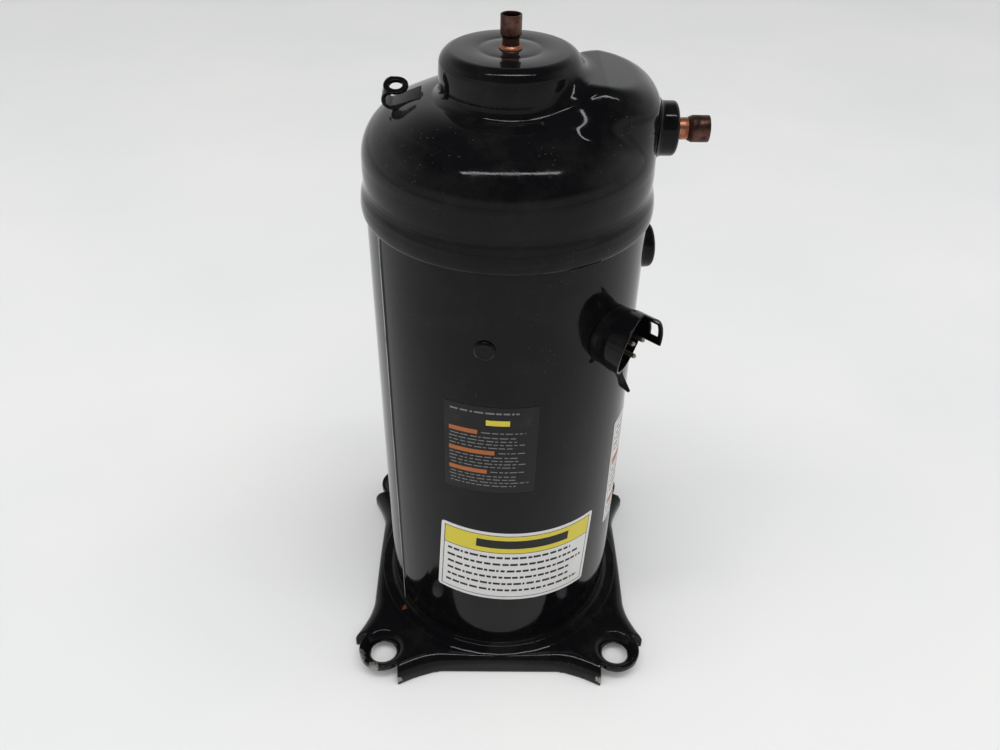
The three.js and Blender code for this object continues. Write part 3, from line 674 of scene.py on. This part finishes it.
def cap_profile(inset):
    """One skin of the cap from its crown down to the foot of its upright wall."""
    slope = 90 - CAP["slope"]
    puck_centre = CAP["puck"] - CAP["edge"]
    top = CAP["top"] - inset
    crown = [(CAP["hole"], top), (CAP["ring"] - 3, top), (CAP["ring"] - 1.2, top - 0.2),
             (CAP["ring"], top - 0.3), (CAP["ring"] + 1.2, top - 0.2), (CAP["ring"] + 3, top)]
    return [
        *crown,
        *arc(puck_centre, CAP["top"] - CAP["edge"], CAP["edge"] - inset, 90, 0, 24),
        *arc(CAP["puck"] + CAP["fillet"], CAP["fillet_height"], CAP["fillet"] + inset, 180, 180 + slope, 24),
        *arc(CAP["outer"] - CAP["shoulder"], CAP["shoulder_height"], CAP["shoulder"] - inset, slope, 0, 40),
        (CAP["outer"] - inset, CAP["wall_low"]),
    ]


def boss_field(points, inset):
    """Signed distance, about, to the boss beside the puck: an outline with a rounded top edge."""
    x, y, z = points[..., 0] - BOSS["centre"], points[..., 1], points[..., 2]
    reach = np.hypot(x, y) + 1e-9
    c, s = x / reach, np.abs(y) / reach
    wall = np.sqrt((CAP["outer"] - inset) ** 2 - (BOSS["centre"] * s) ** 2) - BOSS["centre"] * c
    side = (BOSS["half"] - inset) / np.maximum(s, 1e-6)
    turn = math.radians(BOSS["flank"])
    away = np.maximum(s * math.sin(turn) - c * math.cos(turn), 1e-6)
    flank = (BOSS["centre"] * math.cos(turn) - inset) / away
    power = BOSS["corner"]
    outline = (wall**-power + side**-power + flank**-power) ** (-1 / power)
    size = BOSS["edge"] - inset
    top = BOSS["top"] - inset - BOSS["fall"] * np.maximum(points[..., 0] - BOSS["fall_from"], 0)
    beside, above = reach - outline + size, z - top + size
    beyond = np.hypot(np.maximum(beside, 0), np.maximum(above, 0))
    return np.minimum(np.maximum(beside, above), 0) + beyond - size


def boss_reach(directions, inset):
    """How far the boss goes from the cap's eye point in each direction, or 0 where it doesn't."""
    near, step = np.zeros(directions.shape[:-1]), 2.0
    for distance in np.arange(step, 130.0, step):
        inside = boss_field(EYE + directions * distance, inset) < 0
        near = np.where(inside, distance, near)
    far = near + step
    found = near > 0
    for _ in range(18):  # halve the step until it is far finer than the mesh
        middle = (near + far) / 2
        inside = boss_field(EYE + directions * middle[..., None], inset) < 0
        near, far = np.where(inside, middle, near), np.where(inside, far, middle)
    return np.where(found, near, 0)


def away_from(points, outline):
    """Distance from each point to the turned outline of the plain cap."""
    place = np.stack([np.hypot(points[..., 0], points[..., 1]), points[..., 2]], -1)
    nearest = np.full(place.shape[:-1], np.inf)
    for start, end in zip(outline[:-1], outline[1:]):
        start, along = np.array(start), np.subtract(end, start)
        share = np.clip(((place - start) @ along) / max(along @ along, 1e-9), 0, 1)
        nearest = np.minimum(nearest, np.linalg.norm(place - start - share[..., None] * along, axis=-1))
    return nearest


def blended_reach(directions, low, outline, inset):
    """How far a smooth union of the cap and the boss goes, from how far the two go at least."""
    high = low + BOSS["blend"] / 2
    for _ in range(14):
        middle = (low + high) / 2
        points = EYE + directions * middle[..., None]
        cap, boss = away_from(points, outline), boss_field(points, inset)
        # The blend is narrow on top, by the puck, and closes towards the upright wall.
        width = np.interp(points[..., 2], BOSS["narrows"], [BOSS["blend"], BOSS["top_blend"]])
        width *= np.interp(np.hypot(points[..., 0], points[..., 1]), BOSS["closes"], [1, 0.02])
        overlap = np.maximum(width - np.abs(cap - boss), 0)
        inside = np.minimum(cap, boss) - overlap**2 / width / 4 < 0
        low, high = np.where(inside, middle, low), np.where(inside, high, middle)
    return low


def smoothed_valley(reach, filled, tilts):
    """Soften the part of the skin that the blend has filled, and a little round it."""
    for _ in range(4):
        filled[1:-1] |= filled[2:] | filled[:-2]
        filled |= np.roll(filled, 1, 1) | np.roll(filled, -1, 1)
    filled[0], filled[-1] = False, False
    share = ((tilts[1:-1] - tilts[:-2]) / np.minimum(tilts[2:] - tilts[:-2], -1e-9))[:, None]
    for _ in range(12):
        around = (np.roll(reach, 1, 1) + np.roll(reach, -1, 1)) / 2
        around[1:-1] = (around[1:-1] + reach[:-2] * (1 - share) + reach[2:] * share) / 2
        reach = np.where(filled, (reach + around) / 2, reach)
    return reach


def cap_skin(outline, inset, extra_rows):
    """Rows of points of one skin of the cap, with the boss blended in."""
    radius, height = np.array(outline).T
    tilt = np.arctan2(height - EYE[2], radius)
    distance = np.hypot(radius, height - EYE[2])
    tilts = np.sort(np.concatenate([tilt, np.linspace(tilt.min(), tilt.max(), extra_rows)]))[::-1]
    order = np.argsort(tilt)
    plain = np.interp(tilts, tilt[order], distance[order])[:, None]
    directions = ring(np.cos(tilts)[:, None], round_turn(COLUMNS), np.sin(tilts)[:, None])
    hard = np.maximum(plain, boss_reach(directions, inset))
    # Only rays that pass near the boss need the blend worked out.
    beside = boss_field(EYE + directions * plain[..., None], inset) < BOSS["blend"]
    soft = hard.copy()
    soft[beside] = blended_reach(directions[beside], hard[beside], outline, inset)
    soft = smoothed_valley(soft, soft - hard > 0.02, tilts)
    return directions * soft[..., None] + EYE


def make_cap(material):
    """The drawn cap: puck, sloping shoulder, boss for the discharge fitting, and flared lip."""
    lip_inner = SHELL["outer"] + 0.3
    lip = [(93.45, 389.5), (94.1, 386.5), (95.1, 383), (CAP["lip"], 378), (CAP["lip"], 374.5),
           (95.5, 372.2), (94.9, 371), (94.2, CAP["lip_bottom"])]
    outside = cap_skin(cap_profile(0) + lip, 0, 150)
    inside = cap_skin(cap_profile(CAP["sheet"]), CAP["sheet"], 40)[::-1]
    seat = CAP["seat"]
    corners = [(lip_inner, CAP["lip_bottom"]), (lip_inner, seat), (CAP["outer"] - CAP["sheet"], seat)]
    step = [ring(radius, round_turn(COLUMNS), height) for radius, height in corners]
    hole = mounted(cylinder(DISCHARGE["hole"], 70, 100), DISCHARGE)
    shape = worked([closed_grid([*outside, *step, *inside])], [hole])
    add_piece("cap", shape, material, "enamel", "top_cap")


# ---------- hook, collars and tubes


def make_hook(material):
    """A strip folded back on itself, with an eye for lifting."""
    fold, height, outer, sheet = HOOK["fold"], HOOK["height"], HOOK["outer"], HOOK["sheet"]
    side = [(HOOK["tail"], 440.9), *arc(fold, height, outer, -90, 90, 24),
            *arc(fold, height, outer - sheet, 90, -80, 24), (HOOK["tail"], 443.2)]
    half = HOOK["width"] / 2
    rings = [[(-radius, y, z) for radius, z in side] for y in (-half, half)]
    top = height + outer
    centre = (-HOOK["radius"], 0, 0)
    disc = moved(cylinder(half, top - sheet, top), centre)
    eye = moved(cylinder(HOOK["eye"], top - sheet - 1, top + 1), centre)
    points, faces = worked([loft(rings), disc], [eye], voxel=0.35, smoothing=4)
    # The eye's end is twisted towards the front, as if something had pulled at it.
    level = top - sheet / 2
    turn = math.radians(HOOK["twist"]) * np.clip((points[:, 2] - height + outer) / (2 * outer), 0, 1)
    y, z = points[:, 1].copy(), points[:, 2] - level
    points[:, 1] = y * np.cos(turn) - z * np.sin(turn)
    points[:, 2] = level + y * np.sin(turn) + z * np.cos(turn)
    add_piece("hook", (points, faces), material, "enamel", "lifting_hook")


def make_collar(name, node, fitting, material):
    """A round fitting welded to a round wall, with a small fillet where they meet."""
    bore, radius, end = fitting["bore"], fitting["radius"], fitting["end"]
    wall, spigot, start = fitting["wall"], fitting["spigot"], fitting["start"]
    angles = round_turn(FINE)
    edge = [(bore, 0.9), (bore + 0.35, 0.25), (bore + 0.9, 0.0)]
    rim = arc(radius - 3, 3, 3, -90, 0, 6)
    foot = [(radius + out, up) for out, up in ((0, 3.2), (0.25, 2.0), (0.8, 1.0), (1.7, 0.25), (2.0, 0.1))]
    rows = [(bore, start), *[(size, end - back) for size, back in edge + rim]]
    rows += [(size, np.minimum(saddle(wall, size, angles) + lift, end - 3.1)) for size, lift in foot]
    rows += [(spigot, saddle(wall, spigot, angles) + 0.1), (spigot, start)]
    grid = closed_grid([ring(size, angles, out) for size, out in rows])
    add_piece(name, mounted(grid, fitting), material, "enamel", node)


def dented(depth):
    """A change for turned() that makes a tube slightly uneven, as handling and brazing leave it."""
    def change(radii, heights, angles):
        uneven = np.sin(angles * 2 + 0.7) + 0.6 * np.sin(angles * 3 + heights * 0.35)
        return radii - depth * (1 + uneven / 1.6) / 2, heights
    return change


def make_tubes(dark, bright, braze):
    """The copper stubs: on the side a bright neck and a dark, flared socket; on top one dark stub
    in a ring of braze."""
    end = tube_high.x
    neck = rounded([(5.9, 84), (6.9, 84), (6.9, 112.6), (5.9, 112.6)])
    socket = rounded([(5.9, 112.4), (6.95, 111.6, 0.5), (8.4, 114.8, 1.2), (8.4, end, 0.35),
                      (7.4, end, 0.35), (7.4, 115.2, 0.8), (5.9, 113.2)])
    for name, profile, material, nodes in (
        ("discharge_neck", neck, bright, ()), ("discharge_socket", socket, dark, ("discharge_tube",)),
    ):
        shape = mounted(turned(profile, FINE, dented(0.18)), DISCHARGE)
        add_piece(name, shape, material, "copper", *nodes)
    top = stub_high.z
    stub = rounded([(4.2, 458), (5.2, 458), (5.2, 477.5, 0.8), (6.5, 479.2, 0.8), (6.5, top, 0.35),
                    (5.5, top, 0.35), (5.5, 479.6, 0.6), (4.2, 478)])
    add_piece("modulation_stub", turned(stub, FINE, dented(0.12)), dark, "copper", "modulation_tube")
    low = CAP["top"] + 0.1
    bead = rounded([(5.25, low), (7.3, low, 0.3), (6.7, 472.2, 0.8), (5.3, 473.4, 0.3)])
    add_piece("braze_ring", turned(bead), braze, "braze", "modulation_braze")


# ---------- terminal


def make_fence(material):
    """The terminal's cup: mouth cut on the slant, a latch tab with a window, a bent lower tab."""
    mouth, root, wall, tab = FENCE["mouth"], FENCE["root"], FENCE["wall"], FENCE["tab"]
    cup = turned([(root, 84), (root, 96), (root + 0.4, 100), (mouth, 104), (mouth, tab), (mouth - wall, tab),
                  (mouth - wall, 104), (root + 0.4 - wall, 100), (root - wall, 96), (root - wall, 84)])
    # The waste over the slanted mouth leaves the tab's sector standing.
    corners = [(0, 0), (36, -13), (40, -40), (-40, -40), (-40, 40), (13, 40)]
    yaw, dip = math.tan(math.radians(FENCE["yaw"])), math.tan(math.radians(FENCE["dip"]))
    points, faces = prism(corners, 0, 140)
    low = points[:, 2] == 0
    points[low, 2] = FENCE["reach"] - yaw * points[low, 0] + dip * points[low, 1]
    window = prism([(8, -2), (30, -2), (30, 9), (8, 9)], 110, 116)
    opened = worked([cup], [(points, faces), window], voxel=0.4)
    # The lower tab goes on after the mouth is cut. These say how far out, how high and how wide it is.
    rings = []
    for out, up, width in (
        (99, -18.8, 10), (104.6, -21.0, 8.5), (106.2, -25.4, 5), (108.6, -30.2, 6.5), (114.8, -34.4, 1.4),
    ):
        rings.append([(-3.5 + side * width / 2, up + face * 0.8, out + face * 0.6)
                      for side, face in ((-1, 1), (1, 1), (1, -1), (-1, -1))])
    # The shell's wall, seen from the cup, cuts both to fit it.
    wall_points, wall_faces = cylinder(SHELL["outer"] + 0.1, 250, 360, COLUMNS)
    out, along = axes_at(TERMINAL["azimuth"])
    shifted = wall_points - [0, 0, TERMINAL["height"]]
    local = np.stack([shifted @ along, shifted[:, 2], shifted @ out], 1)
    shape = worked([opened, loft(rings)], [(local, wall_faces)], voxel=0.4, smoothing=3)
    add_piece("fence", mounted(shape, TERMINAL), material, "enamel", "terminal_fence")


def make_terminal(steel, glass, plate):
    """The sealed plate with its three pins, each in a glass bead."""
    profile = rounded([(0, 87), (12, 87, 0.8), (14.6, 89.5, 0.8), (14.6, 93.2), (17.4, 93.2, 0.4),
                       (17.4, 95.4, 0.5), (13.4, 95.4, 0.5), (12.6, 94.8, 0.5), (0, 94.8)])
    circle, radius, end = TERMINAL["circle"], TERMINAL["pin"], TERMINAL["end"]
    turns = [math.radians(angle) for angle in (15, 135, 255)]
    places = [(circle * math.cos(turn), circle * math.sin(turn), 0) for turn in turns]
    holes = [moved(cylinder(2.7, 80, 100, 48), place) for place in places]
    shape = mounted(worked([turned(profile)], holes), TERMINAL)
    add_piece("terminal_plate", shape, plate, "steel", "terminal_body")
    pin = rounded([(0, 84), (radius, 84), (radius, end - 1.2, 0.6), (1.0, end, 0.3), (0, end)])
    inner = radius + 0.02
    bead = rounded([(inner, 88.5), (2.65, 88.5), (2.65, 94.6, 0.3), (2.1, 95.8, 0.4), (inner, 96.2)])
    for i, place in enumerate(places, 1):
        for kind, outline, material, nodes in (
            ("pin", pin, steel, (f"terminal_pin_{i}",)), ("bead", bead, glass, ()),
        ):
            shape = mounted(moved(turned(outline, 48), place), TERMINAL)
            add_piece(f"{kind}_{i}", shape, material, "steel", *nodes)


# ---------- base plate


def skirt_face(along):
    """How far out the face of a skirt is, at a distance along it from its middle."""
    beyond = max(0.0, abs(along) - BASE["straight"]) / (BASE["end"] - BASE["straight"])
    return BASE["side"] + (BASE["tip"] - BASE["side"]) * beyond**1.6


def quarter_turns(shape):
    """The same shape on each of the four sides."""
    points, faces = shape
    for c, s in ((1, 0), (0, 1), (-1, 0), (0, -1)):
        yield points @ np.array([[c, s, 0], [-s, c, 0], [0, 0, 1]]), faces


def make_base(material):
    """The pressed base: a plate, four flared skirts, and feet with dished holes."""
    top, sheet, bend, foot = BASE["top"], BASE["sheet"], BASE["bend"], BASE["foot"]
    under = top - sheet
    stations = np.linspace(-BASE["end"], BASE["end"], 57)
    rings = []
    for along in stations:
        curve = bend + (BASE["wide_bend"] - bend) * min(1, (along / BASE["widens"]) ** 2)
        section = [(0, 0), *arc(-curve, top - curve, curve, 0, 90, 8), (-curve - 5, top), (-curve - 5, under),
                   *arc(-curve, top - curve, curve - sheet, 90, 0, 6), (-sheet, 0)]
        rings.append([(along, -skirt_face(along) - out, height) for out, height in section])
    skirt = loft(rings)
    edge = np.array([(along, -skirt_face(along) + bend + 6, 0) for along in np.linspace(-80, 80, 41)])
    outline = [(x, y) for points, _ in quarter_turns((edge, [])) for x, y, _ in points]
    rim = SHELL["inner"] - 0.3
    centre = turned([(0, 4), (60, 4.6), (68, 9), (79.5, 28), (rim - sheet, 29), (rim - sheet, under),
                     (96, under), (96, top), (rim, top), (rim, BASE["upstand"]), (76, BASE["upstand"]),
                     (66, 14), (58, 8.6), (0, 8)], COLUMNS)
    dish = [(18.4, top), (16.6, top - 0.3), (14.6, top - 1.4), (12.6, top - 3.6), (10.9, top - 6.2),
            (BASE["hole"], 9), (12.8, 9), (14.4, 11.2), (16.8, under), (18.4, under)]
    places = [(x * foot, y * foot, 0) for x in (-1, 1) for y in (-1, 1)]
    solids = [prism(outline, under, top), *quarter_turns(skirt)]
    solids += [moved(cylinder(BASE["foot_radius"], BASE["lip"], top), place) for place in places]
    cutters = [cylinder(BASE["middle"], under - 1, top + 1, COLUMNS)]
    cutters += [moved(cylinder(BASE["dish"], 0, top + 1), place) for place in places]
    opened = worked(solids, cutters, voxel=0.9)
    # The turned middle and the dished rims go on after the holes are cut.
    rims = [moved(turned(dish), place) for place in places]
    shape = worked([opened, centre, *rims], voxel=0.9, smoothing=5)
    add_piece("base", shape, material, "enamel", "base_plate")


# ---------- labels


def patch(label, left, right, low, high, lift, thick, corner=0.0, steps=None):
    """A thin slab on the shell, inside a label's own tilted frame, in millimetres."""
    width = right - left
    count = steps or max(2, int(width / 3))
    across = np.linspace(0, 1, count + 1)
    if corner:
        ends = corner / width * (1 - np.cos(np.linspace(0, math.pi / 2, 7)))
        across = np.unique(np.concatenate([across[(across > corner / width) & (across < 1 - corner / width)],
                                           ends, 1 - ends]))
    u = left + width * across
    inner = np.maximum(corner - np.minimum(u - left, right - u), 0)
    drop = corner - np.sqrt(np.maximum(corner**2 - inner**2, 0)) if corner else 0 * u
    tilt = math.radians(label["tilt"])
    rows, top = [], lift + thick
    for share, level in ((0, lift), (0.5, lift), (1, lift), (1, top), (0.5, top), (0, top)):
        v = (low + drop) * (1 - share) + (high - drop) * share
        x, y = u * math.cos(tilt) - v * math.sin(tilt), u * math.sin(tilt) + v * math.cos(tilt)
        turn = math.radians(label["azimuth"]) + x / SHELL["outer"]
        radius = SHELL["outer"] + level
        rows.append(np.stack([radius * np.sin(turn), -radius * np.cos(turn), label["height"] + y], 1))
    return loft(np.stack(rows, 1))


def print_on(label, part, rectangles, material, thick=PRINT):
    """Rectangles of one ink, just above a label."""
    shapes = [patch(label, *rectangle, LABEL_LIFT + 0.001, thick) for rectangle in rectangles]
    add_piece(f"{label['node']}_{part}", join_shapes(shapes), material, label["slot"])


def dashes(left, right, heights, size, seed):
    """Rows of short strokes of many lengths, which stand for lines of print."""
    draw = random.Random(seed)
    rectangles = []
    for height in heights:
        at = left + draw.uniform(0, 1.5)
        end = right - draw.uniform(0, (right - left) * 0.22)
        while at < end:
            length = draw.uniform(1.6, 6.5)
            rectangles.append((at, min(at + length, end), height - size / 2, height + size / 2))
            at += length + draw.uniform(0.9, 1.6)
    return rectangles


def border(label, inset, line):
    """Four thin rectangles along a label's edge."""
    x, y = label["width"] / 2 - inset, label["tall"] / 2 - inset
    return [(-x, x, y - line, y), (-x, x, -y, -y + line), (-x, -x + line, -y + line, y - line),
            (x - line, x, -y + line, y - line)]


def make_sheet(label, material, corner):
    """The label itself, with rounded corners."""
    half, tall = label["width"] / 2, label["tall"] / 2
    shape = patch(label, -half, half, -tall, tall, 0.02, LABEL_LIFT - 0.02, corner, 40)
    add_piece(f"{label['node']}_sheet", shape, material, label["slot"], label["node"])


def make_labels():
    white = vinyl("white_vinyl", (0.64, 0.63, 0.62))
    black = vinyl("black_vinyl", (0.007, 0.007, 0.007), 0.3, 0.08)
    yellow = vinyl("yellow_ink", (0.62, 0.52, 0.05))
    ink = vinyl("black_ink", (0.010, 0.010, 0.010), 0.35, 0.05)
    grey = vinyl("grey_ink", (0.17, 0.17, 0.165), 0.45, 0.05)
    orange = vinyl("orange_ink", (0.36, 0.11, 0.03), 0.4, 0.15)

    # A white label: a yellow band with a plain bar on it, and six rows of strokes.
    make_sheet(LOWER_LABEL, white, 2.5)
    margin, band, line = 3.2, 18, 0.6
    inner, band_high = LOWER_LABEL["width"] / 2 - margin, LOWER_LABEL["tall"] / 2 - margin
    band_low = band_high - band
    rectangle = (-inner, inner, band_low, band_high)
    print_on(LOWER_LABEL, "band", [rectangle], yellow, BAND)
    lines = border(LOWER_LABEL, 2.8, line) + [(-inner, inner, band_low - line, band_low)]
    lines += dashes(-inner + 3, inner - 3, [band_low - 5.5 - 7.4 * k for k in range(6)], 2.3, 3)
    lines.append((-34, 38, band_low + 4.8, band_high - 4.6))
    print_on(LOWER_LABEL, "ink", lines, ink)

    # A black label: a row of strokes, a yellow mark, and three orange tags with five rows each.
    make_sheet(UPPER_LABEL, black, 1.2)
    left = -UPPER_LABEL["width"] / 2 + 3.5
    right = UPPER_LABEL["width"] / 2 - 4
    tags, lines = [], dashes(left, right, [33.5], 1.3, 5)
    for k, (height, width) in enumerate(((14.5, 20), (-3.2, 32), (-20.9, 27))):
        tags.append((left, left + width, height, height + 3.6))
        lines += dashes(left + width + 2, right, [height + 1.8], 0.8, 11 + k)
        lines += dashes(left, right, [height - 2.4 - 3.0 * row for row in range(4)], 0.8, 17 + k)
    print_on(UPPER_LABEL, "tags", tags, orange)
    print_on(UPPER_LABEL, "ink", lines, grey)
    print_on(UPPER_LABEL, "mark", [(-3, 13, 23.0, 27.5)], yellow)

    # Another white label: two orange tags, and rows of strokes.
    make_sheet(SIDE_LABEL, white, 2.0)
    half = SIDE_LABEL["width"] / 2 - 5
    tags = [(-half, half * 0.3, 6, 14), (-half, -half * 0.3, -36, -30)]
    lines = border(SIDE_LABEL, 2.6, 0.5)
    lines += dashes(-half, half, [start - 5.6 * k for start in (44, 0) for k in range(5)], 1.7, 29)
    lines += dashes(-half, half, [-41, -46], 1.5, 31)
    print_on(SIDE_LABEL, "tags", tags, orange)
    print_on(SIDE_LABEL, "ink", lines, ink)


# ---------- the works


def finish_works():
    """Give every CAD piece that stays its own finish, by the record's material slot."""
    finishes = {
        "steel": machined("machined_steel", (0.46, 0.46, 0.47)),
        "cast_iron": cast_iron(),
        "lamination": laminations(),
        "winding": enamelled_wire(),
        "bronze": machined("bearing_bronze", (0.55, 0.36, 0.15), 0.28),
        "plastic": moulded("dark_plastic", (0.028, 0.028, 0.032), 0.5),
        "seal": moulded("seal_polymer", (0.46, 0.40, 0.28), 0.55),
    }
    # Painted shade: the suction baffle, seen through the suction bore, gets near-black steel so the view into
    # the shell stays dark.
    shaded_baffle_steel = machined("baffle_painted_shade", (0.07, 0.065, 0.06), 0.5)
    slots = {row["node"]: row["material_slot"] for row in frame["record"]["subparts"]}
    for node, piece in frame["nodes"].items():
        if slots[node] in finishes:
            piece.data.materials.clear()
            piece.data.materials.append(shaded_baffle_steel if node == "suction_baffle" else finishes[slots[node]])


# ---------- build

make_camera()
make_lights()

corners = np.array([(-1, -1, 0), (1, -1, 0), (1, 1, 0), (-1, 1, 0)])
floor_mesh = new_mesh("floor", corners * FLOOR_HALF / MM, [(0, 1, 2, 3)])
floor_mesh.materials.append(floor_finish())
floor = new_object("floor", floor_mesh)

foot = BASE["foot"]
# Places and radii: on the rim of the front left foot, and at both ends of the front skirt.
worn_edges = [((-foot - 18, -foot - 9, 16), 5), ((-foot - 6, -foot - 19, 15), 4.5),
              ((-82, -119, 6), 4), ((82, -119, 8), 4)]
rust_spots = [((-81, -57, 18), 2.4)]
# The shell's enamel carries the painted highlight along its seam.
shell_enamel = enamel("shell_enamel", dusty=0.45, seam=True)
cap_enamel = enamel("cap_enamel", scratched=True, dusty=0.6)
base_enamel = enamel("base_enamel", worn=worn_edges)
weld_enamel = enamel("weld_enamel", rusty=rust_spots, dusty=0.7)
trim_enamel = enamel("trim_enamel", dusty=0.7)

finish_works()
make_shell(shell_enamel)
make_base_weld(weld_enamel)
make_plug_welds(trim_enamel)
make_cap(cap_enamel)
make_hook(trim_enamel)
make_collar("discharge_fitting", "discharge_collar", DISCHARGE, trim_enamel)
make_collar("suction_fitting", "suction_collar", SUCTION, trim_enamel)
dark_copper = copper("dark_copper", *DARK_COPPER)
bright_copper = copper("bright_copper", *BRIGHT_COPPER)
make_tubes(dark_copper, bright_copper, copper("braze", *BRIGHT_COPPER))
make_fence(trim_enamel)
pin_steel = machined("pin_steel", (0.34, 0.30, 0.25))
beads = glass_bead()
make_terminal(pin_steel, beads, machined("terminal_steel", (0.16, 0.16, 0.16)))
make_base(base_enamel)
make_labels()
